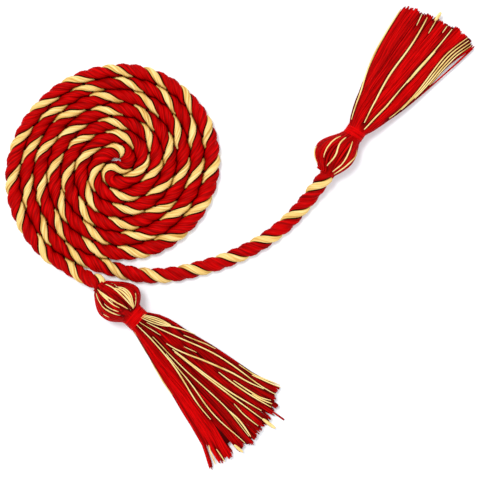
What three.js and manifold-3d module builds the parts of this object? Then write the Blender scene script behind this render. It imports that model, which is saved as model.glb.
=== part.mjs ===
// Honor cord: one long three-ply cord, folded in the middle and wound into a flat round coil, with a tassel
// on each end. It lies on a level surface. Millimetres, +Z up. The origin is on that surface, under the
// middle of the box that holds the two tassels.

import * as THREE from "three";
import { mergeVertices } from "three/addons/utils/BufferGeometryUtils.js";
import Module from "manifold-3d";

const wasm = await Module();
wasm.setup();

// Driving dimensions: the cord.
const cordDiameter = 8.4;
const pressedWidth = 7.37; // the wound turns press each other narrower than they are high
const turnGap = 0.3; // between one wound turn and the next
const fitGap = 0.3; // between any two pieces that meet
const endStraight = 3; // straight length of cord before the face that it meets

// Driving dimensions: the coil. Two arms wind outwards side by side, anticlockwise seen from above.
const coilX = -93.9;
const coilY = 42.3;
const armAInnerRadius = 9.3;
const armAStart = 90; // bearing in degrees where arm A leaves the fold
const armATurns = 3.395;
const armBInnerRadius = 9.2;
const armBStart = -90;
const armBTurns = 2.96;
const coilSkew = 1.05; // how far the hand-wound coil is out of round
const coilDrift = 0.027; // how far each turn's middle lies towards -Y, as a share of its radius
const stepsPerTurn = 24;

// Driving dimensions: the two tassels. Bearings are in degrees, anticlockwise from +X.
const lowerTassel = {
  name: "lower_tassel",
  x: -103.4,
  y: -24.9,
  bearing: -43.0,
  headLength: 22.8,
  headWidth: 25.6,
  headWidest: 0.58,
  headBow: 0.4,
  bandLength: 7.1,
  neckWidth: 13.4,
  skirtLength: 92,
  skirtWidth: 61.4,
  skirtTurn: -2.1,
  flare: 0.88,
};
const upperTassel = {
  name: "upper_tassel",
  x: 23.0,
  y: 38.2,
  bearing: 56.0,
  headLength: 24.0,
  headWidth: 22.2,
  headWidest: 0.47,
  headBow: 2.8,
  bandLength: 5.0,
  neckWidth: 11.4,
  skirtLength: 78.5,
  skirtWidth: 47.8,
  skirtTurn: -5.8,
  flare: 0.7,
};
const bandWall = 1.2; // thickness of the wound thread round the neck
const bandRidges = 4;
const bandRidgeHeight = 0.25;
const headRibs = 12;
const headEndShare = 0.44; // the flat end's radius, as a share of the head's
const swellSteps = 5; // rings from the head's flat end to its widest place
const narrowSteps = 4; // and from there to the neck
const ribDepth = 0.05; // share of the head's radius
const skirtTipHeight = 6.4; // thickness of the skirt at its cut ends, lying flat
const lockOverhang = 5; // how far the locks' ends reach past the skirt's backing

// Colours and finish of the yarns.
const redYarn = { color: 0xb10606, roughness: 0.5, metalness: 0 };
const darkRedYarn = { color: 0x9c0505, roughness: 0.55, metalness: 0 };

const turnPitch = 2 * (pressedWidth + turnGap);

// The free stretch of cord, from the coil to the upper tassel: points chosen by hand, x, y and height.
const leadRoute = [
  [-96.2, -16.0, 0],
  [-85.2, -18.7, 0],
  [-73.2, -19.5, 0],
  [-61.8, -18.4, 0],
  [-50.6, -15.9, 0],
  [-39.6, -12.7, 0],
  [-28.9, -8.6, 0],
  [-19.0, -3.7, 0],
  [-9.9, 2.0, 0],
  [-1.6, 8.5, 0],
  [5.4, 15.5, 0.4],
  [11.5, 22.7, 1.8],
  [16.7, 29.7, 4.3],
];

// Where arm A leaves the coil and rises to the lower tassel: points chosen by hand.
const tailRoute = [
  [-125.2, -12.6, 0.5],
  [-118.0, -17.1, 2.4],
  [-110.4, -21.1, 6.0],
];

const toRad = THREE.MathUtils.degToRad;

// A closed mesh through a row of rings, each a list of points that runs anticlockwise seen from the far end.
function loft(rings) {
  const sides = rings[0].length;
  const positions = rings.flat().flatMap((p) => [p.x, p.y, p.z]);
  const faces = [];
  for (let r = 0; r + 1 < rings.length; r += 1) {
    for (let i = 0; i < sides; i += 1) {
      const a = r * sides + i;
      const b = r * sides + ((i + 1) % sides);
      faces.push(a, b, b + sides, a, b + sides, a + sides);
    }
  }
  const last = (rings.length - 1) * sides;
  for (let i = 1; i + 1 < sides; i += 1) {
    faces.push(0, i + 1, i);
    faces.push(last, last + i, last + i + 1);
  }
  const geometry = new THREE.BufferGeometry();
  geometry.setAttribute("position", new THREE.Float32BufferAttribute(positions, 3));
  geometry.setIndex(faces);
  geometry.computeVertexNormals();
  return geometry;
}

// The corners of an eight-sided section with a flat underside, as [across, up] pairs.
function octagon(width, height) {
  const corner = Math.tan(Math.PI / 8);
  const shares = [
    [1, -corner],
    [1, corner],
    [corner, 1],
    [-corner, 1],
    [-1, corner],
    [-1, -corner],
    [-corner, -1],
    [corner, -1],
  ];
  return shares.map(([across, up]) => [(across * width) / 2, (up * height) / 2]);
}

// A tube along a row of centre points, with its section kept upright.
function upright(points, section) {
  const rings = points.map((point, i) => {
    const before = points[Math.max(i - 1, 0)];
    const after = points[Math.min(i + 1, points.length - 1)];
    const along = after.clone().sub(before).normalize();
    const across = new THREE.Vector3(-along.y, along.x, 0).normalize();
    const up = along.clone().cross(across);
    return section.map(([a, b]) => point.clone().addScaledVector(across, a).addScaledVector(up, b));
  });
  return loft(rings);
}

// One arm of the coil from its inner end outwards: a spiral whose bearing grows with each step.
function arm(innerRadius, startBearing, turns) {
  const steps = Math.round(turns * stepsPerTurn);
  const points = [];
  for (let i = 0; i <= steps; i += 1) {
    const turned = (turns * i) / steps;
    const bearing = toRad(startBearing) + turned * 2 * Math.PI;
    const even = innerRadius + turnPitch * turned;
    const radius = even * (1 - coilDrift * Math.sin(bearing)) + coilSkew * Math.sin(2 * bearing);
    points.push(
      new THREE.Vector3(
        coilX + radius * Math.cos(bearing),
        coilY + radius * Math.sin(bearing),
        cordDiameter / 2,
      ),
    );
  }
  return points;
}

// The two tight folds between the arms' inner ends: round to the right, back to the left, then under itself.
function folds(top, bottom) {
  const smallRadius = (pressedWidth + turnGap) / 2;
  const bigRadius = (top.y - bottom.y - 2 * smallRadius) / 2;
  const bigCentre = new THREE.Vector3(top.x, top.y - bigRadius, top.z);
  const smallCentre = new THREE.Vector3(bottom.x - smallRadius / 2, bottom.y + smallRadius, top.z);
  const points = [];
  for (let i = 1; i <= 8; i += 1) {
    const turn = Math.PI / 2 - (Math.PI * i) / 8;
    const rim = new THREE.Vector3(Math.cos(turn), Math.sin(turn), 0);
    points.push(bigCentre.clone().addScaledVector(rim, bigRadius));
  }
  for (let i = 0; i < 8; i += 1) {
    const turn = Math.PI / 2 + (Math.PI * i) / 8;
    const rim = new THREE.Vector3(Math.cos(turn), Math.sin(turn), 0);
    points.push(smallCentre.clone().addScaledVector(rim, smallRadius));
  }
  return points;
}

function routePoints(route) {
  return route.map(([x, y, rise]) => new THREE.Vector3(x, y, cordDiameter / 2 + rise));
}

// The flat end of a tassel's head, where the cord butts on to it.
function headEnd(tassel) {
  return new THREE.Vector3(tassel.x, tassel.y, headRadius(tassel));
}

function headRadius(tassel) {
  return tassel.headWidth / 2;
}

function alongBearing(tassel, distance) {
  const bearing = toRad(tassel.bearing);
  const step = new THREE.Vector3(Math.cos(bearing), Math.sin(bearing), 0);
  return headEnd(tassel).addScaledVector(step, distance);
}

// The wound part of the cord: arm A's end at the lower tassel, inwards, through the folds, out along arm B.
function coilGeometry() {
  const armA = arm(armAInnerRadius, armAStart, armATurns);
  const armB = arm(armBInnerRadius, armBStart, armBTurns);
  const tail = new THREE.CatmullRomCurve3([
    armA.at(-1),
    ...routePoints(tailRoute),
    alongBearing(lowerTassel, -fitGap - endStraight),
  ]);
  const [leadStart, leadNext] = routePoints(leadRoute);
  const leadOut = leadNext.clone().sub(leadStart).normalize();
  const points = [
    alongBearing(lowerTassel, -fitGap),
    ...tail.getPoints(10).slice(1).reverse(),
    ...armA.toReversed(),
    ...folds(armA[0], armB[0]),
    ...armB,
    leadStart.clone().addScaledVector(leadOut, -fitGap - endStraight),
    leadStart.clone().addScaledVector(leadOut, -fitGap),
  ];
  return upright(points, octagon(pressedWidth, cordDiameter));
}

// The free stretch of cord.
function leadGeometry() {
  const path = new THREE.CatmullRomCurve3([
    ...routePoints(leadRoute),
    alongBearing(upperTassel, -fitGap - endStraight),
    alongBearing(upperTassel, -fitGap),
  ]);
  const sides = 10;
  const section = new THREE.Shape();
  for (let i = 0; i < sides; i += 1) {
    const angle = ((i + 0.5) * 2 * Math.PI) / sides;
    const radius = cordDiameter / 2;
    if (i === 0) section.moveTo(radius * Math.cos(angle), radius * Math.sin(angle));
    else section.lineTo(radius * Math.cos(angle), radius * Math.sin(angle));
  }
  return new THREE.ExtrudeGeometry(section, { extrudePath: path, steps: 22, bevelEnabled: false });
}

// A tassel's parts are made along +X from the head's end, at the height of the head's middle.

// The head swells in a quarter wave from its flat end to its widest place, and narrows in another to the neck.
function headRadiusAt(tassel, share) {
  const widest = tassel.headWidest;
  const rising = share < widest;
  const quarter = rising ? share / widest : (1 - share) / (1 - widest);
  const end = rising ? headEndShare * headRadius(tassel) : tassel.neckWidth / 2;
  return end + (headRadius(tassel) - end) * Math.sin((quarter * Math.PI) / 2);
}

function spigotRadius(tassel) {
  return tassel.neckWidth / 2 - bandWall - fitGap;
}

// The ribbed bulb of yarns, with a round spigot that the neck band is wound on.
function headGeometry(tassel) {
  const length = tassel.headLength - fitGap / 2;
  const sides = 2 * headRibs;
  const ring = (x, radius, depth, shift) => {
    const points = [];
    for (let i = 0; i < sides; i += 1) {
      const angle = (i * 2 * Math.PI) / sides;
      const r = i % 2 ? radius * (1 - depth) : radius;
      points.push(new THREE.Vector3(x, shift + r * Math.cos(angle), r * Math.sin(angle)));
    }
    return points;
  };
  const rings = [];
  for (let i = 0; i <= swellSteps + narrowSteps; i += 1) {
    const narrowed = Math.max(0, i - swellSteps) / narrowSteps;
    const swollen = Math.min(i / swellSteps, 1);
    const share = swollen * tassel.headWidest + narrowed * (1 - tassel.headWidest);
    const shift = tassel.headBow * Math.sin(Math.PI * share);
    rings.push(ring(share * length, headRadiusAt(tassel, share), ribDepth, shift));
  }
  rings.push(ring(length, spigotRadius(tassel), 0, 0));
  rings.push(ring(tassel.headLength + (tassel.bandLength - fitGap) / 2, spigotRadius(tassel), 0, 0));
  return loft(rings);
}

// The band: a few turns of thread wound round the neck, as one ring.
function bandGeometry(tassel) {
  const inner = spigotRadius(tassel) + fitGap;
  const outer = tassel.neckWidth / 2;
  const length = tassel.bandLength - fitGap;
  const outline = [new THREE.Vector2(inner, 0)];
  for (let i = 0; i < bandRidges; i += 1) {
    const width = length / bandRidges;
    outline.push(new THREE.Vector2(outer - bandRidgeHeight, i * width));
    outline.push(new THREE.Vector2(outer, (i + 0.3) * width));
    outline.push(new THREE.Vector2(outer, (i + 0.7) * width));
  }
  outline.push(new THREE.Vector2(outer - bandRidgeHeight, length));
  outline.push(new THREE.Vector2(inner, length));
  outline.push(new THREE.Vector2(inner, 0));
  return new THREE.LatheGeometry(outline, 24);
}

// The skirt's locks: where each lies across the skirt, on its upper or under side, and how long it is,
// in shares of half the skirt's width and of its length.
const locks = [
  { across: -0.84, side: 1, length: 0.985 },
  { across: -0.51, side: 1, length: 1 },
  { across: -0.17, side: 1, length: 0.985 },
  { across: 0.17, side: 1, length: 0.99 },
  { across: 0.51, side: 1, length: 0.955 },
  { across: 0.84, side: 1, length: 0.935 },
  { across: -1, side: -1, length: 0.965 },
  { across: -0.67, side: -1, length: 0.985 },
  { across: -0.34, side: -1, length: 0.99 },
  { across: 0, side: -1, length: 0.985 },
  { across: 0.34, side: -1, length: 0.97 },
  { across: 0.67, side: -1, length: 0.95 },
  { across: 1, side: -1, length: 0.905 },
];
const lockPitch = 0.33;
const skirtStations = [0, 0.08, 0.2, 0.38, 0.6, 0.8, 1];

// The skirt's centre, half width and half height at a share of its length.
function skirtAt(tassel, share) {
  const x = share * tassel.skirtLength;
  const settled = 1 - (1 - share) ** 2.4;
  const neck = tassel.neckWidth / 2;
  const drop = headRadius(tassel) - skirtTipHeight / 2;
  return {
    x,
    y: x * Math.tan(toRad(tassel.skirtTurn)) * Math.min(1, share * 4),
    z: -drop * settled,
    halfWidth: neck + (tassel.skirtWidth / 2 - neck) * share ** tassel.flare,
    halfHeight: neck + (skirtTipHeight / 2 - neck) * settled,
  };
}

function closedSolid(geometry) {
  geometry.deleteAttribute("normal");
  geometry.deleteAttribute("uv");
  const merged = mergeVertices(geometry);
  return new wasm.Manifold(
    new wasm.Mesh({
      numProp: 3,
      vertProperties: merged.attributes.position.array,
      triVerts: new Uint32Array(merged.index.array),
    }),
  );
}

function ellipseRing(centre, halfWidth, halfHeight, sides) {
  const points = [];
  for (let i = 0; i < sides; i += 1) {
    const angle = ((i + 0.5) * 2 * Math.PI) / sides;
    points.push(
      new THREE.Vector3(
        centre.x,
        centre.y + halfWidth * Math.cos(angle),
        centre.z + halfHeight * Math.sin(angle),
      ),
    );
  }
  return points;
}

// One lock: a flat tapering strip on the skirt's upper or under side.
function lockGeometry(tassel, lock, start) {
  const rings = skirtStations.map((station) => {
    const share = station * lock.length;
    const at = skirtAt(tassel, share);
    const thickness = at.halfHeight * 0.42;
    const halfWidth = at.halfWidth * lockPitch * (0.62 - 0.14 * station);
    const across = lock.across * (at.halfWidth - halfWidth);
    const up = lock.side * Math.sqrt(1 - lock.across ** 2) * (at.halfHeight - thickness);
    const centre = new THREE.Vector3(start + at.x, at.y + across, at.z + up);
    return ellipseRing(centre, halfWidth, thickness, 8);
  });
  return loft(rings);
}

// The skirt: locks fused to a fan-shaped backing, with a round plug that sits in the neck band.
function skirtGeometry(tassel) {
  const start = tassel.headLength + tassel.bandLength;
  const fan = skirtStations.map((station) => {
    const share = (station * (tassel.skirtLength - 2 * lockOverhang)) / tassel.skirtLength;
    const at = skirtAt(tassel, share);
    const centre = new THREE.Vector3(start + at.x, at.y, at.z);
    return ellipseRing(centre, at.halfWidth * 0.9, at.halfHeight * 0.72, 16);
  });
  const middle = new THREE.Vector3(0, 0, 0);
  const plugRadius = spigotRadius(tassel);
  const plugFrom = tassel.headLength + (tassel.bandLength + fitGap) / 2;
  const plug = [plugFrom, start + lockOverhang].map((x) =>
    ellipseRing(middle.clone().setX(x), plugRadius, plugRadius, 16),
  );
  let solid = closedSolid(loft(fan)).add(closedSolid(loft(plug)));
  for (const lock of locks) {
    solid = solid.add(closedSolid(lockGeometry(tassel, lock, start)));
  }
  const mesh = solid.getMesh();
  const geometry = new THREE.BufferGeometry();
  geometry.setAttribute("position", new THREE.BufferAttribute(mesh.vertProperties, 3));
  geometry.setIndex(new THREE.BufferAttribute(mesh.triVerts, 1));
  geometry.computeVertexNormals();
  return geometry;
}

function piece(name, geometry, yarn) {
  const mesh = new THREE.Mesh(geometry, new THREE.MeshStandardMaterial(yarn));
  mesh.name = name;
  return mesh;
}

// One tassel, turned to its bearing and lifted so that its head rests on the surface.
function makeTassel(tassel) {
  const group = new THREE.Group();
  group.add(piece(`${tassel.name}_head`, headGeometry(tassel), redYarn));
  const band = piece(`${tassel.name}_band`, bandGeometry(tassel), darkRedYarn);
  band.rotation.z = -Math.PI / 2;
  band.position.x = tassel.headLength + fitGap / 2;
  group.add(band);
  group.add(piece(`${tassel.name}_skirt`, skirtGeometry(tassel), redYarn));
  group.position.copy(headEnd(tassel));
  group.rotation.z = toRad(tassel.bearing);
  return group;
}

const honorCord = new THREE.Group();
honorCord.add(piece("cord_coil", coilGeometry(), redYarn));
honorCord.add(piece("cord_lead", leadGeometry(), redYarn));
honorCord.add(makeTassel(lowerTassel));
honorCord.add(makeTassel(upperTassel));

export default honorCord;
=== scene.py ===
import math
import bpy
import numpy as np
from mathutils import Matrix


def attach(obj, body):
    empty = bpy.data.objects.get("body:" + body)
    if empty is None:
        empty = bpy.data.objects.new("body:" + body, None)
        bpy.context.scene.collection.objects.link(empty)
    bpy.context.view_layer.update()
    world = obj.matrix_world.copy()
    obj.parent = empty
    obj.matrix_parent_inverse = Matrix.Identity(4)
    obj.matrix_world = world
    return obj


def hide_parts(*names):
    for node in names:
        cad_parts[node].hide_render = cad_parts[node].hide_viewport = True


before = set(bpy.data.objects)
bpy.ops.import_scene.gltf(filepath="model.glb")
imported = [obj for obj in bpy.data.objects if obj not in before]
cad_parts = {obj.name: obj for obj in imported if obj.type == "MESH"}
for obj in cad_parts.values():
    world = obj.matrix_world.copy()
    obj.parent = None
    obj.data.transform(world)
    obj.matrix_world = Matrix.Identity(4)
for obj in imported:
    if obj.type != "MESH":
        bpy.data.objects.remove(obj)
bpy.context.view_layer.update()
MM = 0.001


# The table, the light and the camera. The cord lies on a light table of opal acrylic, white all over, and is
# seen from straight above. The light is soft, and stronger from the upper left, so each piece has a faint
# shadow at its lower right.
def from_hex(code):
    """A colour written as sRGB hex, turned to the linear values that Blender uses."""
    shares = [int(code[i:i + 2], 16) / 255 for i in (1, 3, 5)]
    linear = [s / 12.92 if s <= 0.04045 else ((s + 0.055) / 1.055) ** 2.4 for s in shares]
    return (*linear, 1.0)


def add_node(tree, kind, inputs=(), **settings):
    """One node with its settings. A value in inputs sets a socket, and a node's output is linked to it."""
    node = tree.nodes.new(kind)
    for name, value in settings.items():
        setattr(node, name, value)
    for socket, value in dict(inputs).items():
        if isinstance(value, bpy.types.NodeSocket):
            tree.links.new(value, node.inputs[socket])
        else:
            node.inputs[socket].default_value = value
    return node


def new_material(name):
    material = bpy.data.materials.new(name)
    material.use_nodes = True
    material.node_tree.nodes.clear()
    return material


def mesh_object(name, points, faces, smooth=True):
    mesh = bpy.data.meshes.new(name)
    mesh.from_pydata(points, [], faces)
    mesh.polygons.foreach_set("use_smooth", [smooth] * len(mesh.polygons))
    piece = bpy.data.objects.new(name, mesh)
    bpy.context.scene.collection.objects.link(piece)
    return piece


TABLE_HALF = 1.5
table_corners = [(-1, -1), (1, -1), (1, 1), (-1, 1)]
table = mesh_object("table_top", [(x * TABLE_HALF, y * TABLE_HALF, -0.0002) for x, y in table_corners],
                    [(0, 1, 2, 3)], smooth=False)
# Opal acrylic, dull and lit from within, which keeps the shadows on it light.
opal = new_material("opal_acrylic")
shader = add_node(opal.node_tree, "ShaderNodeBsdfPrincipled",
                  {"Base Color": from_hex("#E4E8EA"), "Roughness": 0.9, "Specular IOR Level": 0.1,
                   "Emission Color": from_hex("#FFFCF4"), "Emission Strength": 0.16})
add_node(opal.node_tree, "ShaderNodeOutputMaterial", {"Surface": shader.outputs[0]})
table.data.materials.append(opal)

world = bpy.data.worlds.new("studio")
bpy.context.scene.world = world
world.use_nodes = True
world.node_tree.nodes["Background"].inputs["Color"].default_value = from_hex("#F6F8FF")
world.node_tree.nodes["Background"].inputs["Strength"].default_value = 1.0

window = bpy.data.lights.new("window", "SUN")
window.energy = 1.9
window.angle = math.radians(16)
window_light = bpy.data.objects.new("window", window)
window_light.rotation_euler = (math.radians(-13), math.radians(-13), 0)
bpy.context.scene.collection.objects.link(window_light)

# The width of what the camera sees, at the height of the cord's middle.
PHOTO_WIDTH = 269.9 * MM
CAMERA_HEIGHT = 1.5
lens = bpy.data.cameras.new("camera")
lens.sensor_width = 36
lens.lens = 36 * (CAMERA_HEIGHT - 4.2 * MM) / PHOTO_WIDTH
lens.clip_end = 10
camera = bpy.data.objects.new("camera", lens)
camera.location = (-25.6 * MM, -0.1 * MM, CAMERA_HEIGHT)
bpy.context.scene.collection.objects.link(camera)
bpy.context.scene.camera = camera
bpy.context.scene.view_settings.view_transform = "Standard"


# The cord: one length of three-ply rayon cord, two plies red and one gold, twisted together to the right. It
# is folded in its middle and wound flat, so its two arms spiral outwards side by side. One arm ends in the
# lower tassel. The other runs free across the table to the upper one.
CORD_WIDTH = 8.4
PRESSED_WIDTH = 7.37
TURN_PITCH = 2 * (PRESSED_WIDTH + 0.3)
COIL_X, COIL_Y = -93.9, 42.3
COIL_SKEW = 1.05
COIL_DRIFT = 0.027
STOPS_PER_TURN = 24
LOWER_TASSEL = dict(name="lower_tassel", x=-103.4, y=-24.9, bearing=-43.0, head_length=22.8, head_width=25.6,
                    head_widest=0.58, head_bow=0.4, band_length=7.1, neck_width=13.4, skirt_length=92,
                    skirt_width=61.4, skirt_turn=-2.1, flare=0.88)
UPPER_TASSEL = dict(name="upper_tassel", x=23.0, y=38.2, bearing=56.0, head_length=24.0, head_width=22.2,
                    head_widest=0.47, head_bow=2.8, band_length=5.0, neck_width=11.4, skirt_length=78.5,
                    skirt_width=47.8, skirt_turn=-5.8, flare=0.7)
LEAD_ROUTE = [(-96.2, -16.0, 0), (-85.2, -18.7, 0), (-73.2, -19.5, 0), (-61.8, -18.4, 0), (-50.6, -15.9, 0),
              (-39.6, -12.7, 0), (-28.9, -8.6, 0), (-19.0, -3.7, 0), (-9.9, 2.0, 0), (-1.6, 8.5, 0),
              (5.4, 15.5, 0.4), (11.5, 22.7, 1.8), (16.7, 29.7, 4.3)]
TAIL_ROUTE = [(-125.2, -12.6, 0.5), (-118.0, -17.1, 2.4), (-110.4, -21.1, 6.0)]


def coil_arm(inner_radius, start_bearing, turns):
    """One arm of the flat coil, from its inner end outwards."""
    turned = np.linspace(0, turns, round(turns * STOPS_PER_TURN) + 1)
    bearing = math.radians(start_bearing) + turned * 2 * math.pi
    radius = (inner_radius + TURN_PITCH * turned) * (1 - COIL_DRIFT * np.sin(bearing))
    radius += COIL_SKEW * np.sin(2 * bearing)
    x = COIL_X + radius * np.cos(bearing)
    y = COIL_Y + radius * np.sin(bearing)
    return np.column_stack([x, y, np.full(len(x), CORD_WIDTH / 2)])


def centre_folds(top, bottom):
    """The two tight folds that join the arms: round to the right, back to the left, then under itself."""
    small = TURN_PITCH / 4
    big = (top[1] - bottom[1] - 2 * small) / 2
    rising = math.pi / 2 - math.pi * np.arange(1, 9) / 8
    falling = math.pi / 2 + math.pi * np.arange(8) / 8
    x = np.concatenate([top[0] + big * np.cos(rising), bottom[0] - small / 2 + small * np.cos(falling)])
    y = np.concatenate([top[1] - big + big * np.sin(rising), bottom[1] + small + small * np.sin(falling)])
    return np.column_stack([x, y, np.full(len(x), CORD_WIDTH / 2)])


def lifted(route):
    return np.array(route, float) + (0, 0, CORD_WIDTH / 2)


def on_axis(tassel, distance):
    """A point on a tassel's axis, at a distance past the end of its head."""
    bearing = math.radians(tassel["bearing"])
    return (tassel["x"] + distance * math.cos(bearing), tassel["y"] + distance * math.sin(bearing),
            tassel["head_width"] / 2)


def smooth_path(stops, step):
    """A curve through the stops, cut into even steps."""
    stops = np.vstack([2 * stops[0] - stops[1], stops, 2 * stops[-1] - stops[-2]])
    samples = []
    for p0, p1, p2, p3 in zip(stops, stops[1:], stops[2:], stops[3:]):
        gaps = [math.sqrt(np.linalg.norm(b - a)) for a, b in ((p0, p1), (p1, p2), (p2, p3))]
        leave = (p1 - p0) / gaps[0] - (p2 - p0) / (gaps[0] + gaps[1]) + (p2 - p1) / gaps[1]
        arrive = (p2 - p1) / gaps[1] - (p3 - p1) / (gaps[1] + gaps[2]) + (p3 - p2) / gaps[2]
        for t in np.arange(12) / 12:
            samples.append((2 * t ** 3 - 3 * t ** 2 + 1) * p1 + (t ** 3 - 2 * t ** 2 + t) * gaps[1] * leave
                           + (3 * t ** 2 - 2 * t ** 3) * p2 + (t ** 3 - t ** 2) * gaps[1] * arrive)
    samples = np.array(samples + [stops[-2]])
    reached = np.concatenate([[0], np.cumsum(np.linalg.norm(np.diff(samples, axis=0), axis=1))])
    even = np.linspace(0, reached[-1], round(reached[-1] / step) + 1)
    return np.column_stack([np.interp(even, reached, samples[:, i]) for i in range(3)]), even


arm_a = coil_arm(9.3, 90, 3.395)
# The outermost turn of this arm lies looser at the coil's lower right, and was pulled in at its upper left.
# These are turns along the arm, and how far in it was pulled there, in mm.
PULLED_IN = [(2.5, 0), (2.56, -0.5), (2.78, -0.5), (2.86, 0.2), (2.97, 0.7), (3.0, 1.3), (3.14, 1.6),
             (3.2, 0.9), (3.26, 0)]
outwards = arm_a[:, :2] - (COIL_X, COIL_Y)
outwards /= np.linalg.norm(outwards, axis=1)[:, None]
pulled = np.interp(np.arange(len(arm_a)) / STOPS_PER_TURN, *zip(*PULLED_IN))
arm_a[:, :2] -= outwards * pulled[:, None]
arm_b = coil_arm(9.2, -90, 2.96)
cord_stops = np.vstack([
    [on_axis(LOWER_TASSEL, 2.0), on_axis(LOWER_TASSEL, -0.3), on_axis(LOWER_TASSEL, -3.3)],
    lifted(TAIL_ROUTE)[::-1],
    arm_a[::-1],
    centre_folds(arm_a[0], arm_b[0]),
    arm_b,
    lifted(LEAD_ROUTE),
    [on_axis(UPPER_TASSEL, -3.3), on_axis(UPPER_TASSEL, -0.3), on_axis(UPPER_TASSEL, 2.0)],
])
cord_path, cord_run = smooth_path(cord_stops, 1.25)

# How far the twist has come along the cord, in whole turns: the winder's hands tightened and slackened it.
TWIST_MARKS = [(0, -1.0), (21, 0), (87, 3), (180, 7), (266, 11), (357, 15), (450, 19), (545, 23), (639, 27),
               (725, 31), (794, 34), (803, 34.6), (811, 35), (816, 35.2), (821, 35.38), (839, 36), (914, 39),
               (1006, 43), (1097, 47), (1197, 51), (1291, 55), (1387, 59), (1479, 63), (1566, 67),
               (1576, 67.45)]
twist = np.interp(cord_run, *zip(*TWIST_MARKS))
eased = np.convolve(np.pad(twist, 2, mode="reflect", reflect_type="odd"), np.ones(5) / 5, mode="valid")

# Across one round of the twist the gold ply fills a third and the two red plies the rest. The red plies are
# pressed together with only a shallow dip between them, and a thin groove runs along the gold one. Painted
# shade darkens each ply towards its edges, so the grooves show dark, and the red plies along their dip.
CORD_RADIUS = 4.85
SETTLED_HEIGHT = 0.86
GOLD_HALF, RED_HALF = 56, 124
GROOVE_ANGLE = 10
# Over these angles in degrees at each edge, a ply is drawn darker, as painted shade into the groove.
GOLD_EDGE_SHADE, RED_EDGE_SHADE = 8, 16
GROOVE_FLOOR = 0.8
GOLD_DIP, RED_DIP = 0.32, 0.25
YARN_SWELL = 0.025
PLY_PUSH = 0.45


def ply_corners(half_angle, lobes, yarns, rng):
    """The corners round one ply: bearing from its middle, distance as a share of the radius, and tone."""
    edges = half_angle - np.array([0, 1.2, 3.6])
    inside = (half_angle - GROOVE_ANGLE) * np.linspace(-1, 1, 4 * yarns + 1)
    bearing = np.concatenate([-edges, inside, edges[::-1]])
    yarn = np.concatenate([[0] * 3, np.arange(4 * yarns + 1), [0] * 3])
    into_groove = np.clip((np.abs(bearing) - half_angle + GROOVE_ANGLE) / GROOVE_ANGLE, 0, 1)
    lobe = np.abs(np.sin((bearing / half_angle + 1) * lobes * math.pi / 2))
    dip = np.where(np.abs(bearing) > half_angle / 2, GOLD_DIP, RED_DIP if lobes > 1 else GOLD_DIP)
    distance = (1 - dip * (1 - lobe)) * (1 + YARN_SWELL * np.cos(yarn * math.pi / 2))
    distance *= GROOVE_FLOOR + (1 - GROOVE_FLOOR) * np.sqrt(1 - into_groove ** 2)
    edge = GOLD_EDGE_SHADE if lobes == 1 else RED_EDGE_SHADE
    # Painted shade: the ply is drawn darker towards its edges, where it runs into a groove.
    shade = np.clip((np.abs(bearing) - half_angle + edge) / edge * 2.2, 0, 1)
    tone = (0.7 + rng.uniform(-0.1, 0.08, yarns + 1)[yarn // 4]) * (1 - shade)
    # On the red plies, painted shade in the grooves between yarns and along the dip between the two plies.
    if lobes > 1:
        tone -= 0.07 * (1 - np.cos(yarn * math.pi / 2)) + 0.14 * np.exp(-(bearing / 5) ** 2)
    # The ply's inner side, inside the cord, is drawn darkest, as painted shade.
    inner = [(half_angle - 3, 0.4), (half_angle - 10, 0.12), (10 - half_angle, 0.12), (3 - half_angle, 0.4)]
    folds = np.array([(angle, share, 0) for angle, share in inner])
    return np.vstack([np.column_stack([bearing, distance, tone]), folds])


along = np.gradient(cord_path, axis=0)
along /= np.linalg.norm(along, axis=1)[:, None]
across = np.column_stack([-along[:, 1], along[:, 0], np.zeros(len(along))])
across /= np.linalg.norm(across, axis=1)[:, None]
upward = np.cross(along, across)

# Where another turn lies beside the cord, the two press against each other half way between them, and the
# crown of a ply pushes a little way into the groove of the next turn. Below, they fill the room between them.
# Two turns press when their middles are closer than PRESS_REACH in mm, or FOLD_REACH round the tight folds.
PRESS_REACH, FOLD_REACH = 8.6, 10
FOLDS_START, FOLDS_END = 765, 820
STRAIGHT_ACROSS, SAME_LEVEL, LEAST_APART = 1.3, 3, 2
WALL_GAP = 0.02
NOTHING_NEAR = 99
apart = cord_path[None, :, :] - cord_path[:, None, :]
sideways = np.einsum("ijk,ik->ij", apart, across)
forwards = np.einsum("ijk,ik->ij", apart, along)
level = (np.abs(forwards) < STRAIGHT_ACROSS) & (np.abs(apart[..., 2]) < SAME_LEVEL)
gold_turn = 2 * math.pi * (eased + 0.25)
reach = np.where((cord_run > FOLDS_START) & (cord_run < FOLDS_END), FOLD_REACH, PRESS_REACH)
crown = {side: np.abs(np.cos(1.5 * ((1 - side) / 2 * math.pi - gold_turn))) for side in (1, -1)}
room = []
for side in (1, -1):
    gaps = np.where(level & (side * sideways > LEAST_APART), np.abs(sideways), NOTHING_NEAR)
    nearest, least = gaps.argmin(axis=1), gaps.min(axis=1)
    on_its_left = sideways[nearest, np.arange(len(cord_path))] > 0
    push = crown[side] - np.where(on_its_left, crown[1][nearest], crown[-1][nearest])
    room.append(np.where(least < reach, least / 2 - WALL_GAP + PLY_PUSH * push, NOTHING_NEAR))
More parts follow.
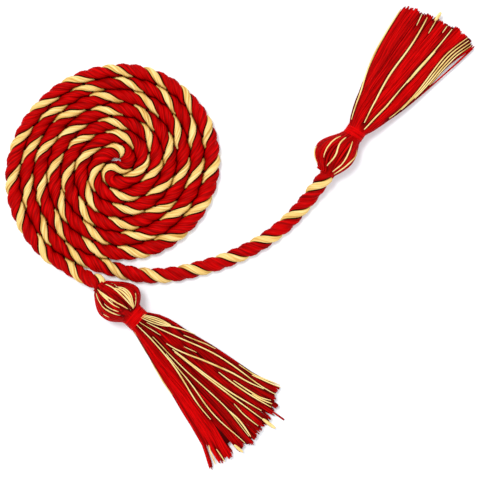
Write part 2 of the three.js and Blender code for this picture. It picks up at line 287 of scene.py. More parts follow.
# A side that nothing presses is rounder. These are its widths as a share of the full one, along the cord.
ALONE = [(0, 0.91), (20, 0.9), (50, 0.88), (72, 0.95), (122, 0.95), (136, 0.87), (225, 0.87), (238, 0.96),
         (330, 0.97), (344, 0.87), (770, 0.87), (782, 1.08), (800, 1.1), (806, 0.93), (825, 0.93),
         (834, 0.87), (1390, 0.87), (1420, 0.91)]
alone = np.interp(cord_run, *zip(*ALONE))
WIDEST_PRESSED = 0.95
squeeze = [np.where(wall < NOTHING_NEAR, np.minimum(wall / CORD_RADIUS, WIDEST_PRESSED), alone)[:, None]
           for wall in room]
# In the tight folds at the coil's centre the gold ply is stretched thin: by this angle at each edge.
STRETCHED = [(797, 0), (801, 25), (804, 20), (808, 6), (812, 5), (817, 18), (823, 12), (829, 0)]
stretched = np.interp(cord_run, *zip(*STRETCHED))
# A pressed turn is spread by BELOW_SPREAD in its lower half, and runs BELOW_OVERLAP mm into the next one.
BELOW_SPREAD, BELOW_OVERLAP = 1.6, 0.25
# Painted shade between turns: a ply is drawn darker near the turn that it presses, from this share of its
# room on, and over the next tenth of it.
GOLD_DARKENS, RED_DARKENS, DARKENS_OVER, DARKENED_BY = 0.83, 0.89, 0.1, 0.8
rng = np.random.default_rng(4)
cord_points, cord_faces, cord_slots, cord_uv, cord_tone_and_shade = [], [], [], [], []
first = 0
for slot, opposite, half_angle, lobes, yarns in ((1, 1, GOLD_HALF, 1, 4), (0, -1, RED_HALF, 2, 8)):
    corners = ply_corners(half_angle, lobes, yarns, rng)
    count, sides = len(cord_path), len(corners)
    bearing = np.radians(corners[:, 0])[None, :] * (1 - opposite * stretched / half_angle)[:, None]
    bearing += gold_turn[:, None] + (1 - opposite) / 2 * math.pi
    flat = CORD_RADIUS * corners[:, 1] * np.cos(bearing)
    to_wall = np.where(flat > 0, room[0][:, None], room[1][:, None])
    above = np.where(flat > 0, flat * squeeze[0], flat * squeeze[1])
    below = np.clip(flat * BELOW_SPREAD, -to_wall - BELOW_OVERLAP, to_wall + BELOW_OVERLAP)
    flat = np.where((np.sin(bearing) < 0) & (to_wall < NOTHING_NEAR), below, above)
    tall = CORD_RADIUS * corners[:, 1] * np.sin(bearing) * SETTLED_HEIGHT
    rings = (cord_path[:, None, :] + flat[..., None] * across[:, None, :]
             + tall[..., None] * upward[:, None, :])
    cord_points.append(rings.reshape(-1, 3))
    # Painted shade where the ply comes near the next turn.
    darkens = GOLD_DARKENS if slot else RED_DARKENS
    next_turn_shade = np.clip((np.abs(flat) / to_wall - darkens) / DARKENS_OVER, 0, 1)
    cord_tone_and_shade.append((corners[:, 2] * (1 - DARKENED_BY * next_turn_shade)).ravel())
    column = np.arange(sides)
    beside = (column + 1) % sides
    start = first + np.arange(count - 1)[:, None] * sides
    quads = np.stack([start + column, start + beside, start + beside + sides, start + column + sides],
                     axis=-1)
    cord_faces.extend(quads.reshape(-1, 4).tolist())
    u = np.radians(corners[:, 0]) * CORD_RADIUS / 10
    u, u_beside = (np.tile(edge, count - 1) for edge in (u, u[beside]))
    v, v_next = np.repeat(cord_run[:-1] / 10, sides), np.repeat(cord_run[1:] / 10, sides)
    cord_uv.append(np.stack([u, v, u_beside, v, u_beside, v_next, u, v_next], axis=-1).reshape(-1, 2))
    cord_faces.append([first + i for i in range(sides)][::-1])
    cord_faces.append([first + (count - 1) * sides + i for i in range(sides)])
    cord_uv.append(np.zeros((2 * sides, 2)))
    cord_slots.extend([slot] * ((count - 1) * sides + 2))
    first += count * sides
cord = mesh_object("cord", np.vstack(cord_points) * MM, cord_faces)
cord.data.attributes.new("tone", "FLOAT", "POINT").data.foreach_set("value", np.concatenate(cord_tone_and_shade))
cord.data.uv_layers.new(name="UVMap").data.foreach_set("uv", np.vstack(cord_uv).ravel())
cord.data.polygons.foreach_set("material_index", cord_slots)


STREAK_STRENGTH = 2.7


def rayon(name, shades):
    """Dyed viscose rayon, spun into soft yarn: smooth, a little silky, streaked along its fibres.

    The tone attribute holds each yarn's own lightness and painted shade, which is lowest where a
    yarn lies deep between others. The UV map is in centimetres, so the streaks are about 1.5 mm wide and 10
    mm long, which is coarser than single fibres, to show from here.
    """
    material = new_material(name)
    tree = material.node_tree
    place = add_node(tree, "ShaderNodeUVMap", uv_map="UVMap")
    stretch = add_node(tree, "ShaderNodeMapping", {"Vector": place.outputs[0], "Scale": (5.5, 0.8, 1.0)})
    fibres = add_node(tree, "ShaderNodeTexNoise",
                      {"Vector": stretch.outputs[0], "Scale": 1.0, "Detail": 3.0, "Roughness": 0.6})
    tone = add_node(tree, "ShaderNodeAttribute", attribute_name="tone")
    swing = add_node(tree, "ShaderNodeMath", {0: fibres.outputs[0], 1: 0.5}, operation="SUBTRACT")
    swayed = add_node(tree, "ShaderNodeMath", {0: swing.outputs[0], 1: STREAK_STRENGTH, 2: 1.0},
                      operation="MULTIPLY_ADD")
    lift = add_node(tree, "ShaderNodeMath", {0: swayed.outputs[0], 1: tone.outputs["Fac"]},
                    operation="MULTIPLY")
    ramp = add_node(tree, "ShaderNodeValToRGB", {"Fac": lift.outputs[0]})
    ramp.color_ramp.elements[0].color = from_hex(shades[0])
    ramp.color_ramp.elements[1].color = from_hex(shades[-1])
    for i, shade in enumerate(shades[1:-1], 1):
        ramp.color_ramp.elements.new(i / (len(shades) - 1)).color = from_hex(shade)
    grain = add_node(tree, "ShaderNodeBump",
                     {"Height": fibres.outputs[0], "Strength": 0.35, "Distance": 0.0004})
    surface = add_node(tree, "ShaderNodeBsdfPrincipled",
                       {"Base Color": ramp.outputs[0], "Roughness": 0.55, "Specular IOR Level": 0.03,
                        "Normal": grain.outputs[0]})
    add_node(tree, "ShaderNodeOutputMaterial", {"Surface": surface.outputs[0]})
    return material


# The darkest colour of each is the one that painted shade runs towards.
RED_SHADES = ("#0E0000", "#740000", "#A80000", "#CC0203")
GOLD_SHADES = ("#2A1403", "#B98738", "#E0BA6C", "#EED48E")
red_rayon = rayon("red_rayon", RED_SHADES)
gold_rayon = rayon("gold_rayon", GOLD_SHADES)
cord.data.materials.append(red_rayon)
cord.data.materials.append(gold_rayon)
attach(cord, "root")
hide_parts("cord_coil", "cord_lead")


# Tassel heads: a hank of rayon yarns, tied round the cord, turned down over it and gathered again at the
# neck, so that the yarns lie over the bulb from end to end. Some of them are gold.
CM_PER_METRE = 100.0


def yarn_tree():
    """Geometry nodes that wind a round yarn along every path of a piece, with its ends closed."""
    tree = bpy.data.node_groups.new("yarn_along_paths", "GeometryNodeTree")
    sockets = (("Paths", "Geometry"), ("Sides", "Int"), ("Red yarn", "Material"), ("Gold yarn", "Material"))
    for name, kind in sockets:
        tree.interface.new_socket(name, in_out="INPUT", socket_type=f"NodeSocket{kind}")
    tree.interface.new_socket("Yarns", in_out="OUTPUT", socket_type="NodeSocketGeometry")
    start = add_node(tree, "NodeGroupInput").outputs
    curves = add_node(tree, "GeometryNodeMeshToCurve", {"Mesh": start["Paths"]})
    thickness = add_node(tree, "GeometryNodeInputNamedAttribute", {"Name": "thickness"}, data_type="FLOAT")
    run = add_node(tree, "GeometryNodeSplineParameter")
    kept_run = add_node(tree, "GeometryNodeStoreNamedAttribute",
                        {"Geometry": curves.outputs[0], "Name": "run", "Value": run.outputs["Length"]},
                        data_type="FLOAT", domain="POINT")
    circle = add_node(tree, "GeometryNodeCurvePrimitiveCircle", {"Resolution": start["Sides"], "Radius": 0.5})
    round_share = add_node(tree, "GeometryNodeSplineParameter")
    profile = add_node(tree, "GeometryNodeStoreNamedAttribute",
                       {"Geometry": circle.outputs[0], "Name": "turn",
                        "Value": round_share.outputs["Factor"]},
                       data_type="FLOAT", domain="POINT")
    swept = add_node(tree, "GeometryNodeCurveToMesh",
                     {"Curve": kept_run.outputs[0], "Profile Curve": profile.outputs[0],
                      "Scale": thickness.outputs[0], "Fill Caps": True})
    turn = add_node(tree, "GeometryNodeInputNamedAttribute", {"Name": "turn"}, data_type="FLOAT")
    length = add_node(tree, "GeometryNodeInputNamedAttribute", {"Name": "run"}, data_type="FLOAT")
    number = add_node(tree, "GeometryNodeInputNamedAttribute", {"Name": "number"}, data_type="FLOAT")
    girth = add_node(tree, "ShaderNodeMath", {0: thickness.outputs[0], 1: CM_PER_METRE * math.pi},
                     operation="MULTIPLY")
    around = add_node(tree, "ShaderNodeMath", {0: turn.outputs[0], 1: girth.outputs[0], 2: number.outputs[0]},
                      operation="MULTIPLY_ADD")
    centimetres = add_node(tree, "ShaderNodeMath", {0: length.outputs[0], 1: CM_PER_METRE},
                           operation="MULTIPLY")
    both = add_node(tree, "ShaderNodeCombineXYZ", {"X": around.outputs[0], "Y": centimetres.outputs[0]})
    mapped = add_node(tree, "GeometryNodeStoreNamedAttribute",
                      {"Geometry": swept.outputs[0], "Name": "UVMap", "Value": both.outputs[0]},
                      data_type="FLOAT2", domain="CORNER")
    smooth = add_node(tree, "GeometryNodeSetShadeSmooth", {"Geometry": mapped.outputs[0]})
    real = add_node(tree, "GeometryNodeRealizeInstances", {"Geometry": smooth.outputs[0]})
    gold = add_node(tree, "GeometryNodeInputNamedAttribute", {"Name": "gold"}, data_type="BOOLEAN")
    red_set = add_node(tree, "GeometryNodeSetMaterial",
                       {"Geometry": real.outputs[0], "Material": start["Red yarn"]})
    gold_set = add_node(tree, "GeometryNodeSetMaterial",
                        {"Geometry": red_set.outputs[0], "Selection": gold.outputs[0],
                         "Material": start["Gold yarn"]})
    add_node(tree, "NodeGroupOutput", {"Yarns": gold_set.outputs[0]})
    return tree


YARN_TREE = yarn_tree()


def yarn_piece(name, yarns, sides=6):
    """One piece made of many yarns. Each yarn is its points, thickness and tone, and whether it is gold."""
    points = np.vstack([yarn["points"] for yarn in yarns]) * MM
    thick = [np.broadcast_to(yarn["thickness"], len(yarn["points"])) for yarn in yarns]
    half = np.concatenate(thick) * MM / 2
    points[:, 2] = np.maximum(points[:, 2], half)
    edges, first = [], 0
    for yarn in yarns:
        count = len(yarn["points"])
        edges += [(first + i, first + i + 1) for i in range(count - 1)]
        first += count
    mesh = bpy.data.meshes.new(name)
    mesh.from_pydata(points, edges, [])
    for key, scale in (("thickness", MM), ("tone", 1), ("gold", 1), ("number", 1)):
        spread = [np.broadcast_to(yarn[key], len(yarn["points"])) * scale for yarn in yarns]
        kind = "BOOLEAN" if key == "gold" else "FLOAT"
        values = np.concatenate(spread).astype(bool if key == "gold" else np.float32)
        mesh.attributes.new(key, kind, "POINT").data.foreach_set("value", values)
    draft = bpy.data.objects.new(name, mesh)
    bpy.context.scene.collection.objects.link(draft)
    winding = draft.modifiers.new("yarns", "NODES")
    winding.node_group = YARN_TREE
    values = {"Sides": sides, "Red yarn": red_rayon, "Gold yarn": gold_rayon}
    for item in YARN_TREE.interface.items_tree:
        if item.name in values:
            winding[item.identifier] = values[item.name]
    graph = bpy.context.evaluated_depsgraph_get()
    made = bpy.data.meshes.new_from_object(draft.evaluated_get(graph), depsgraph=graph)
    draft.modifiers.clear()
    draft.data = made
    return draft


def merge_into(piece, points, faces, tone):
    """Adds a plain closed core to a piece of yarns."""
    core = mesh_object(piece.name + "_core", points, faces)
    core.data.attributes.new("tone", "FLOAT", "POINT").data.foreach_set("value", [tone] * len(points))
    core.data.uv_layers.new(name="UVMap")
    core.data.materials.append(red_rayon)
    with bpy.context.temp_override(active_object=piece, selected_editable_objects=[piece, core]):
        bpy.ops.object.join()


def loft_faces(rings, sides):
    """The faces of a closed form made of rings of points, with both of its ends."""
    faces = [(r * sides + i, r * sides + (i + 1) % sides,
              (r + 1) * sides + (i + 1) % sides, (r + 1) * sides + i)
             for r in range(rings - 1) for i in range(sides)]
    return faces + [tuple(range(sides))[::-1], tuple((rings - 1) * sides + i for i in range(sides))]


def placed(tassel, local):
    """Points along, across and above a tassel's axis, turned and moved to the tassel's place."""
    bearing = math.radians(tassel["bearing"])
    local = np.asarray(local, float)
    x = tassel["x"] + local[..., 0] * math.cos(bearing) - local[..., 1] * math.sin(bearing)
    y = tassel["y"] + local[..., 0] * math.sin(bearing) + local[..., 1] * math.cos(bearing)
    return np.stack([x, y, tassel["head_width"] / 2 + local[..., 2]], axis=-1)


HEAD_END_SHARE = 0.44


def head_radius(tassel, share):
    """A head's radius at a share of its length, from the cord's end to the neck."""
    widest = tassel["head_widest"]
    full = tassel["head_width"] / 2
    swelling = share < widest
    quarter = np.where(swelling, share / widest, (1 - share) / (1 - widest))
    end = np.where(swelling, HEAD_END_SHARE * full, tassel["neck_width"] / 2)
    return end + (full - end) * np.sin(np.clip(quarter, 0, 1) * math.pi / 2)


HEAD_YARNS = 60
# How many times as thick as its room a yarn is, and the hank's radius in mm where it is tied round the cord.
YARN_OVERLAP, ROOT_RADIUS = 1.25, 4.9
# How full each head is on the left and the right of its axis, against a round form, at shares of its length.
LOWER_TASSEL["head_left"] = [(0, 0.64), (0.2, 0.73), (0.4, 0.84), (0.6, 0.95), (0.72, 1.03), (0.88, 1.1),
                             (1, 1)]
LOWER_TASSEL["head_right"] = [(0, 1.05), (0.4, 1.02), (0.6, 0.96), (0.95, 0.95), (1, 1)]
UPPER_TASSEL["head_left"] = [(0, 1.42), (0.14, 1.35), (0.23, 1.21), (0.37, 1.03), (0.53, 0.92), (0.67, 0.83),
                             (0.79, 0.79), (0.9, 0.82), (1, 1)]
UPPER_TASSEL["head_right"] = [(0, 0.84), (0.2, 0.92), (0.5, 1), (0.7, 1), (0.86, 0.94), (0.95, 0.9),
                              (1, 0.95)]
# Each gold yarn: its thickness in mm, then its places, as a share of the head's length and a place across it.
LOWER_TASSEL["head_gold"] = [
    (0.95, [(0.05, 0.34), (0.22, 0.36), (0.34, 0.33), (0.5, 0.3), (0.64, 0.3), (0.8, 0.32), (0.97, 0.42)]),
    (0.9, [(0.3, 0.48), (0.41, 0.58), (0.55, 0.61), (0.68, 0.6), (0.76, 0.57), (0.84, 0.51), (0.96, 0.5)]),
    (1.2, [(0.28, 0.39), (0.42, 0.42), (0.55, 0.42), (0.68, 0.42), (0.82, 0.42), (0.95, 0.46)]),
    (1.2, [(0.34, 0.46), (0.48, 0.52), (0.6, 0.52), (0.72, 0.5), (0.82, 0.46)]),
    (0.5, [(0.12, 0.55), (0.23, 0.55), (0.32, 0.48)]),
    (0.6, [(0.7, 0.86), (0.83, 0.77), (0.9, 0.69), (0.95, 0.56)]),
    (0.95, [(0.01, -0.48), (0.15, -0.27), (0.33, -0.17), (0.5, -0.09), (0.67, -0.02), (0.84, 0.07),
            (0.93, 0.18)]),
    (0.9, [(0.05, -0.45), (0.23, -0.33), (0.38, -0.27), (0.57, -0.22), (0.7, -0.16), (0.8, -0.05)]),
    (0.6, [(0.12, -0.35), (0.35, -0.22), (0.5, -0.16), (0.64, -0.11)]),
    (0.65, [(0.36, -0.52), (0.49, -0.47), (0.62, -0.4), (0.73, -0.34), (0.8, -0.24)]),
    (0.85, [(0.02, -0.78), (0.1, -0.75), (0.26, -0.68), (0.43, -0.64), (0.59, -0.56), (0.75, -0.5),
            (0.9, -0.41)]),
    (0.4, [(0.5, -0.86), (0.61, -0.8), (0.71, -0.76)]),
    (0.4, [(0.3, 0.66), (0.4, 0.7), (0.47, 0.77)]),
]
UPPER_TASSEL["head_gold"] = [
    (0.9, [(0.03, 1.4), (0.1, 1.33), (0.2, 1.22), (0.36, 1.02)]),
    (0.8, [(0.2, 0.56), (0.37, 0.49), (0.53, 0.47), (0.7, 0.5), (0.86, 0.53)]),
    (0.95, [(0.1, 0.26), (0.2, 0.07), (0.33, -0.05), (0.47, -0.05), (0.59, 0.06), (0.74, 0.17), (0.9, 0.24)]),
    (0.85, [(0.06, -0.4), (0.26, -0.56), (0.44, -0.58), (0.58, -0.56), (0.76, -0.48), (0.9, -0.34)]),
    (0.8, [(0.03, -0.66), (0.27, -0.78), (0.47, -0.86), (0.65, -0.97), (0.8, -0.97)]),
]


def head_fullness(tassel, share, place):
    """How full the head is on the left, where place is above 0, or on the right."""
    left, right = (np.interp(share, *zip(*tassel[side])) for side in ("head_left", "head_right"))
    return np.where(place > 0, left, right)


def place_on_head(tassel, share, angle, radius):
    """Points on or under a head's surface, at bearings from its top."""
    side = radius * np.sin(angle) * head_fullness(tassel, share, np.sin(angle))
    bow = tassel["head_bow"] * np.sin(math.pi * np.clip(share, 0, 1))
    local = np.column_stack([share * tassel["head_length"], bow + side, radius * np.cos(angle)])
    return placed(tassel, local)


def gold_bearing(tassel, share, stops):
    """A gold yarn's bearing from the head's top, from its place across the head."""
    place = np.interp(share, *zip(*stops))
    return np.arcsin(np.clip(place / head_fullness(tassel, share, place), -0.97, 0.97))


# How far a gold yarn's shade reaches, in mm, and the tone of the gold yarns.
SHADE_REACH = 0.6
GOLD_TONE = 0.85


def shaded_by(gold_gaps):
    """How much painted shade a red yarn gets where gold ones lie close, from its distances to them in mm."""
    return np.clip(sum(np.exp(-(np.maximum(gap, 0) / SHADE_REACH) ** 2) for gap in gold_gaps), 0, 1)


def softened(values):
    """The values with their corners rounded off, from the first to the last."""
    for _ in range(3):
        values[1:-1] = (values[:-2] + 2 * values[1:-1] + values[2:]) / 4
    return values


def head_yarns(tassel, shading, seed):
    """A head's red yarns, side by side all round it, and its gold ones, which lie over them."""
    rng = np.random.default_rng(seed)
    share = np.linspace(-0.06, 1.04, 24)
    radius = head_radius(tassel, np.clip(share, 0, 1))
    radius = np.where(share < 0, ROOT_RADIUS, radius)
    yarns = []
    for i in range(HEAD_YARNS):
        lean = rng.uniform(-0.05, 0.05) * np.sin(math.pi * share)
        angle = 2 * math.pi * (i + rng.uniform(-0.2, 0.2)) / HEAD_YARNS + lean
        gaps = []
        for thick, stops in tassel["head_gold"]:
            beside = angle - gold_bearing(tassel, share, stops)
            beside = np.abs((beside + math.pi) % (2 * math.pi) - math.pi) * radius - thick / 2
            there = (share > stops[0][0] - 0.04) & (share < stops[-1][0] + 0.04)
            gaps.append(np.where(there, beside, NOTHING_NEAR))
        # Painted shade: a red yarn is drawn darker where a gold yarn lies close, by the head's shading.
        tone = (0.62 + rng.uniform(-0.12, 0.12)) * (1 - shading * shaded_by(gaps))
        points = place_on_head(tassel, share, angle, radius - rng.uniform(0.3, 0.7))
        yarns.append(dict(points=points, thickness=2 * math.pi * radius / HEAD_YARNS * YARN_OVERLAP,
                          gold=False, tone=tone, number=i))
    for thick, stops in tassel["head_gold"]:
        part = np.linspace(stops[0][0], stops[-1][0], 24)
        angle = softened(gold_bearing(tassel, part, stops))
        arch = np.sin(math.pi * np.linspace(0, 1, 24))
        radius = head_radius(tassel, np.clip(part, 0, 1)) + 0.15 - 0.45 * (1 - arch) ** 3
        points = place_on_head(tassel, part, angle, radius)
        yarns.append(dict(points=points, thickness=thick * (0.5 + 0.5 * arch ** 0.5), gold=True,
                          tone=GOLD_TONE, number=len(yarns)))
    return yarns


def make_head(tassel, shading, seed):
    name = tassel["name"] + "_head"
    piece = yarn_piece(name + "_yarns", head_yarns(tassel, shading, seed), sides=8)
    rings, sides = 14, 24
    share = np.repeat(np.linspace(0, 1, rings), sides)
    angle = np.tile(np.arange(sides) * -2 * math.pi / sides, rings)
    core = place_on_head(tassel, share, angle, head_radius(tassel, share) - 1.0)
    # The core is drawn dark, as painted shade in the gaps between the yarns.
    merge_into(piece, core * MM, loft_faces(rings, sides), 0.25)
    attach(piece, "root")
    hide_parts(name)


make_head(LOWER_TASSEL, 0.65, 11)
make_head(UPPER_TASSEL, 0.3, 12)


# Neck bands: one red thread wound tightly round each neck, turn beside turn, which holds the hank.
def make_band(tassel):
    name = tassel["name"] + "_band"
    thread = 0.95
    turns = round(tassel["band_length"] / thread)
    winding = np.linspace(0, turns, turns * 28 + 1)
    angle = 2 * math.pi * winding
    x = tassel["head_length"] + 0.2 + winding * (tassel["band_length"] - 0.4) / turns
    r = tassel["neck_width"] / 2 - thread * 0.45
    local = np.column_stack([x, r * np.cos(angle), r * np.sin(angle)])
    rng = np.random.default_rng(21)
    tone = 0.94 + 0.04 * np.sin(winding * 2.3 + rng.uniform(0, 6))
    wound = dict(points=placed(tassel, local), thickness=thread * 1.15, gold=False, tone=tone, number=0)
    piece = yarn_piece(name + "_thread", [wound])
    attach(piece, "root")
    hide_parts(name)


make_band(LOWER_TASSEL)
make_band(UPPER_TASSEL)


# Skirts: the cut ends of the hank, several hundred rayon threads below the band. They fan out and sink on to
# the table, in loose locks with a gap between one and the next, which is drawn dark with painted shade, and a
# few gold threads lie over them.
SKIRT_TIP_HEIGHT = 6.4
# A lock's half width, as a share of the fan's half width, times the number of locks.
LOCK_SPREAD = 1.25


def skirt_section(tassel, share):
    """The skirt's middle, half width and half height at a share of its length."""
    x = share * tassel["skirt_length"]
    settled = 1 - (1 - np.clip(share, 0, 1)) ** 2.4
    neck = tassel["neck_width"] / 2
    drop = tassel["head_width"] / 2 - SKIRT_TIP_HEIGHT / 2
    y = x * math.tan(math.radians(tassel["skirt_turn"])) * np.minimum(1, share * 4)
    half_width = neck + (tassel["skirt_width"] / 2 - neck) * np.clip(share, 0, 1.1) ** tassel["flare"]
    half_height = neck + (SKIRT_TIP_HEIGHT / 2 - neck) * settled
    return x, y, -drop * settled, half_width, half_height


def skirt_edge(tassel, share, position):
    """How far out the fan's uneven edge is, on the left where position is above 0, or on the right."""
    left, right = (np.interp(share, *zip(*tassel[side])) for side in ("skirt_left", "skirt_right"))
    return np.where(position > 0, left, right)


def skirt_start(tassel):
    """Where the skirt starts along the tassel's axis, just inside the band."""
    return tassel["head_length"] + tassel["band_length"] - 0.6


def skirt_path(tassel, share, position, lift, proud=0.0):
    """Points of one thread: its place across the fan, from -1 to 1, and its lift, from 1 on top to -1."""
    x, y, z, half_width, half_height = skirt_section(tassel, share)
    height = np.sqrt(np.clip(1 - (position / skirt_edge(tassel, share, position)) ** 2, 0, 1))
    local = np.column_stack([skirt_start(tassel) + x, y + position * half_width,
                             z + lift * height * (half_height - 0.4) + proud])
    points = placed(tassel, local)
    points[:, 2] = np.maximum(points[:, 2], 0.4)
    return points


def gaps_to_gold(tassel, share, position):
    """The distances in mm from a thread to each gold one, where there is one at that share of the length."""
    half_width = skirt_section(tassel, share)[3]
    gaps = []
    for thick, stops in tassel["gold"]:
        beside = np.abs(position - np.interp(share, *zip(*stops))) * half_width - thick / 2
        there = (share > stops[0][0] - 0.01) & (share < stops[-1][0] + 0.02)
        gaps.append(np.where(there, beside, NOTHING_NEAR))
    return gaps


def parted(share, position, partings):
    """Moves a thread aside where the skirt parts and leaves a gap."""
    for half_gap, stops in partings:
        start, end = stops[0][0], stops[-1][0]
        middle = np.interp(share, *zip(*stops))
        along_gap = np.clip((share - start) / (end - start), 0, 1)
        opened = half_gap * np.sin(math.pi * (along_gap if end < 1 else np.minimum(along_gap, 0.5)))
        side = 1 if np.interp(start, share, position) > middle[0] else -1
        away = np.maximum(side * (position - middle), 0)
        position = np.where(share > start, middle + side * np.sqrt(away ** 2 + opened ** 2), position)
    return position


def skirt_locks(tassel, rng, side, locks, threads):
    """The red threads of the fan's upper side, 1, or its lower side, -1, lock by lock."""
    partings, tones = tassel["partings"], tassel["tones"]
    yarns = []
    for lock in range(locks):
        middle = -0.97 + 1.94 * (lock + 0.5) / locks + rng.uniform(-0.4, 0.4) / locks
        lock_tone = rng.uniform(-0.1, 0.08)
        wander, phase = rng.uniform(0.2, 0.8) / locks, rng.uniform(0, 2 * math.pi)
        lock_reach = np.interp(middle, *zip(*tassel["reach"])) + rng.uniform(-0.018, 0.012)
        for _ in range(threads):
            offset = rng.uniform(-1, 1)
            share = np.linspace(0, lock_reach + rng.uniform(-0.014, 0.01), 16)
            spread = LOCK_SPREAD / locks * (0.85 + 0.25 * np.sin(math.pi * share))
            sway = wander * np.sin(phase + 4.5 * share) * np.sin(math.pi * np.clip(share, 0, 1))
            position = np.clip(middle + sway + offset * spread, -1, 1)
            # Near the band the threads lie round it, so they crowd towards the sides.
            position += (np.sin(position * math.pi / 2) - position) * np.clip(1 - share / 0.5, 0, 1)
            position = parted(share, position * skirt_edge(tassel, share, position), partings)
            depth = 1 - 0.4 * offset ** 2 * (0.3 + 0.7 * share) - rng.uniform(0, 0.15)
            # Painted light and shade across the fan, with a random lightness for each lock and each thread.
            tone = np.interp(middle + LOCK_SPREAD * offset / locks, *zip(*tones)) + lock_tone
            # The threads at the sides of a lock are drawn darker, as painted shade in the gap between locks.
            tone = tone + rng.uniform(-0.2, 0.14) - 0.2 * abs(offset) ** 3
            # Painted shade beside the gold threads, which lie over the upper side.
            if side > 0:
                tone = tone * (1 - 0.8 * shaded_by(gaps_to_gold(tassel, share, position)))
            yarns.append(dict(points=skirt_path(tassel, share, position, side * depth), tone=tone,
                              thickness=rng.uniform(0.5, 0.75), gold=False, number=len(yarns)))
    return yarns


def skirt_backing(tassel):
    """The mass of threads inside the skirt, which fills it between its upper and lower locks."""
    rings, sides = 12, 32
    share = np.linspace(0.0, 0.9, rings)
    x, y, z, half_width, half_height = skirt_section(tassel, share)
    angle = np.arange(sides) * 2 * math.pi / sides
    local = np.stack([np.repeat((skirt_start(tassel) + x)[:, None], sides, axis=1),
                      y[:, None] + 0.8 * half_width[:, None] * np.cos(angle),
                      z[:, None] + 0.6 * half_height[:, None] * np.sin(angle)], axis=-1)
    return placed(tassel, local).reshape(-1, 3) * MM, loft_faces(rings, sides)


def make_skirt(tassel, seed):
    name = tassel["name"] + "_skirt"
    rng = np.random.default_rng(seed)
    yarns = skirt_locks(tassel, rng, side=-1, locks=14, threads=10)
    yarns += skirt_locks(tassel, rng, side=1, locks=26, threads=16)
    for thick, stops in tassel["gold"]:
        share = np.linspace(stops[0][0], stops[-1][0], 20)
        position = softened(np.interp(share, *zip(*stops)))
        ends = 0.3 + 0.7 * np.sqrt(np.sin(math.pi * np.linspace(0.02, 0.98, 20)))
        points = skirt_path(tassel, share, position, 1.0, 0.25)
        yarns.append(dict(points=points, thickness=thick * ends, gold=True, tone=GOLD_TONE,
                          number=len(yarns)))
    for thick, stops in tassel["strays"]:
        share, position = np.array(stops).T
        points = skirt_path(tassel, share, position, 1.0, 0.1)
        yarns.append(dict(points=points, thickness=thick, gold=False, tone=0.5, number=len(yarns)))
    piece = yarn_piece(name + "_threads", yarns, sides=5)
    # The backing is drawn almost black, as painted shade in the gaps between the locks.
    merge_into(piece, *skirt_backing(tassel), 0.1)
    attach(piece, "root")
    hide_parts(name)


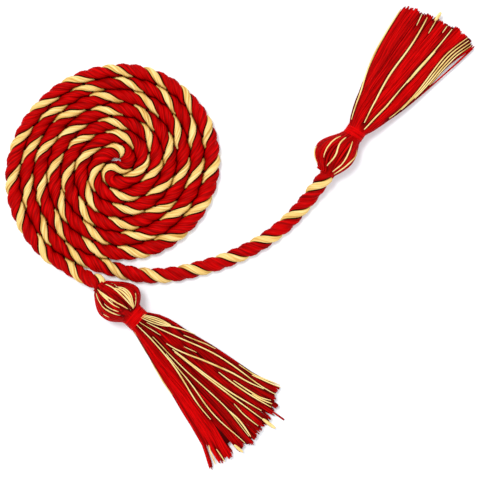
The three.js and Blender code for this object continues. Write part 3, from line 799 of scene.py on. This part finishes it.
# Each gold thread: its thickness in mm, then its places, as a share of the skirt's length and a place across
# the fan. The stray red threads are written in the same way, and so are the partings, with a gap's half width
# first. The edges are widths at shares of the length. The locks' reach goes across the fan, and so does the
# fan's shading, which is painted light and shade: lighter where the threads lie to catch the light, darker
# where they don't.
LOWER_TASSEL["gold"] = [
    (0.7, [(-0.01, 0.36), (0.04, 0.46), (0.1, 0.63), (0.15, 0.84)]),
    (0.9, [(-0.01, 0.49), (0.045, 0.62), (0.105, 0.76), (0.16, 0.9), (0.205, 1.0), (0.24, 1.07), (0.3, 1.1)]),
    (0.9, [(-0.01, 0.6), (0.05, 0.78), (0.105, 0.87), (0.155, 0.93)]),
    (0.7, [(-0.01, 0.7), (0.055, 0.92), (0.11, 0.95), (0.15, 0.95)]),
    (0.85, [(0.035, 0.31), (0.096, 0.45), (0.2, 0.61), (0.3, 0.76), (0.4, 0.85), (0.45, 0.885), (0.56, 0.89),
            (0.68, 0.86), (0.76, 0.83), (0.84, 0.83), (0.91, 0.86)]),
    (0.7, [(0.25, 0.86), (0.32, 0.935), (0.385, 1.0), (0.45, 1.02)]),
    (0.8, [(0.62, 0.975), (0.7, 0.96), (0.74, 0.965), (0.8, 1.01), (0.85, 1.04), (0.89, 1.06)]),
    (0.9, [(0.72, 0.93), (0.78, 0.965), (0.84, 0.995), (0.9, 1.03)]),
    (0.45, [(0, -0.01), (0.09, 0.16), (0.15, 0.24)]),
    (0.9, [(0, -0.33), (0.07, -0.24), (0.22, -0.23), (0.29, -0.22), (0.36, -0.28), (0.44, -0.34),
           (0.52, -0.41), (0.6, -0.46), (0.72, -0.44)]),
    (0.7, [(0.12, -0.09), (0.28, -0.08), (0.37, -0.09), (0.45, -0.06), (0.55, -0.03), (0.66, -0.01),
           (0.75, 0.01), (0.84, -0.04), (0.91, -0.07), (0.96, -0.08)]),
    (0.75, [(0.25, -0.17), (0.32, -0.21), (0.42, -0.21), (0.5, -0.23), (0.58, -0.29), (0.66, -0.32),
            (0.74, -0.32), (0.83, -0.28), (0.91, -0.23), (0.97, -0.22)]),
    (1.05, [(0.21, 0.14), (0.27, 0.22), (0.35, 0.36), (0.42, 0.51), (0.5, 0.6), (0.57, 0.67), (0.63, 0.73),
            (0.7, 0.73), (0.77, 0.77), (0.83, 0.82)]),
    (0.95, [(0.26, 0.14), (0.35, 0.185), (0.43, 0.22), (0.52, 0.245), (0.6, 0.285), (0.67, 0.305),
            (0.73, 0.335), (0.79, 0.375), (0.85, 0.41), (0.91, 0.44)]),
    (0.9, [(0.28, 0.115), (0.35, 0.15), (0.43, 0.18), (0.52, 0.2), (0.6, 0.235), (0.67, 0.25), (0.74, 0.27),
           (0.82, 0.3), (0.89, 0.31), (0.95, 0.33)]),
    (0.9, [(0.66, 0.58), (0.76, 0.6), (0.85, 0.63), (0.91, 0.71)]),
    (0.9, [(0.8, 0.585), (0.86, 0.61), (0.93, 0.67)]),
    (0.9, [(0.56, 0.52), (0.67, 0.52), (0.77, 0.54), (0.86, 0.575), (0.94, 0.61)]),
    (0.7, [(0.76, 0.18), (0.84, 0.15), (0.9, 0.16), (0.96, 0.18)]),
    (1.05, [(0.75, -0.01), (0.84, 0.01), (0.91, -0.02), (0.97, -0.06)]),
    (0.45, [(0.3, 0.5), (0.38, 0.6)]),
    (0.9, [(0.82, -0.82), (0.86, -0.87), (0.93, -0.92)]),
    (0.7, [(0.87, -0.73), (0.92, -0.73), (0.96, -0.74)]),
    (0.7, [(0.02, -0.8), (0.06, -0.85), (0.11, -0.865), (0.17, -0.88)]),
    (0.7, [(0.21, -0.885), (0.28, -0.9), (0.34, -0.915), (0.41, -0.905), (0.45, -0.89)]),
    (1.8, [(0.93, -0.4), (1.0, -0.36)]),
    (2.2, [(0.95, 0.335), (1.045, 0.355)]),
]
LOWER_TASSEL["skirt_left"] = [(0, 1), (0.045, 1.17), (0.134, 1.2), (0.222, 1.12), (0.305, 1.1), (0.42, 1.08),
                              (0.58, 1.02), (0.72, 0.99), (0.81, 1.03), (0.9, 1.06)]
LOWER_TASSEL["skirt_right"] = [(0, 0.9), (0.05, 0.84), (0.17, 0.87), (0.44, 0.88), (0.6, 0.92),
                               (0.8, 0.96), (0.92, 1.09)]
LOWER_TASSEL["reach"] = [(-1, 0.91), (-0.85, 0.93), (-0.7, 0.95), (-0.28, 0.98), (-0.1, 1), (0.1, 0.985),
                         (0.55, 0.975), (0.78, 0.91), (1, 0.88)]
LOWER_TASSEL["tones"] = [(-1.0, 0.78), (-0.94, 0.8), (-0.91, 0.45), (-0.88, 0.45), (-0.85, 0.82),
                         (-0.55, 0.8), (-0.4, 0.62), (0.3, 0.6), (1.0, 0.52)]
LOWER_TASSEL["partings"] = [(0.04, [(0.74, -0.45), (0.84, -0.45), (1.0, -0.45)]),
                            (0.05, [(0.8, -0.85), (0.88, -0.88), (1.0, -0.9)]),
                            (0.035, [(0.93, 0.46), (0.97, 0.48), (1.0, 0.49)])]
LOWER_TASSEL["strays"] = [(1.2, [(0.9, 0.54), (0.98, 0.56), (1.05, 0.57)])]
UPPER_TASSEL["gold"] = [
    (1.15, [(0.04, 0.75), (0.22, 0.92), (0.35, 1.09), (0.52, 1.15), (0.71, 1.13), (0.9, 1.08)]),
    (1.15, [(0.07, -0.12), (0.24, 0.21), (0.45, 0.36), (0.68, 0.33), (0.83, 0.37), (0.95, 0.43)]),
    (1.05, [(0.03, -0.44), (0.18, -0.37), (0.33, -0.3), (0.43, -0.27)]),
    (0.9, [(0.4, -0.28), (0.61, -0.24), (0.78, -0.25), (0.98, -0.21)]),
    (1.7, [(0.48, -0.28), (0.6, -0.26), (0.78, -0.26)]),
    (0.85, [(0.2, -0.87), (0.36, -0.83), (0.47, -0.76), (0.65, -0.61), (0.81, -0.52), (0.99, -0.62)]),
    (0.9, [(0.3, -0.88), (0.45, -0.83), (0.55, -0.76), (0.68, -0.66), (0.83, -0.6), (0.98, -0.69)]),
    (0.85, [(0.42, -0.88), (0.55, -0.82), (0.7, -0.72), (0.84, -0.68), (0.97, -0.76)]),
    (0.7, [(0.56, -0.86), (0.7, -0.78), (0.84, -0.75), (0.96, -0.82)]),
    (0.55, [(0.86, 0.53), (0.95, 0.58)]),
    (0.55, [(0.86, 0.17), (0.97, 0.22)]),
    (0.55, [(0.92, -0.09), (0.98, -0.07)]),
    (2.2, [(0.96, 0.235), (1.035, 0.245)]),
]
UPPER_TASSEL["skirt_left"] = [(0, 0.85), (0.04, 0.84), (0.16, 0.97), (0.31, 1.08), (0.48, 1.13),
                              (0.62, 1.14), (0.77, 1.11), (0.88, 1.08), (1, 1.03)]
UPPER_TASSEL["skirt_right"] = [(0, 0.9), (0.1, 0.94), (0.23, 0.92), (0.36, 0.95), (0.53, 0.93),
                               (0.7, 0.91), (0.95, 0.91)]
UPPER_TASSEL["reach"] = [(-1, 0.95), (-0.8, 0.976), (-0.67, 0.99), (-0.4, 1.005), (-0.2, 1), (0.05, 0.985),
                         (0.3, 0.97), (0.8, 0.96), (1, 0.91)]
UPPER_TASSEL["tones"] = [(-1.0, 0.66), (-0.75, 0.7), (-0.5, 0.82), (0.2, 0.76), (0.45, 0.62), (0.75, 0.78),
                         (1.0, 0.68)]
UPPER_TASSEL["partings"] = [(0.045, [(0.54, -0.9), (0.64, -0.86), (0.72, -0.84), (0.8, -0.845),
                                     (0.94, -0.88)])]
UPPER_TASSEL["strays"] = []
make_skirt(LOWER_TASSEL, 31)
make_skirt(UPPER_TASSEL, 32)
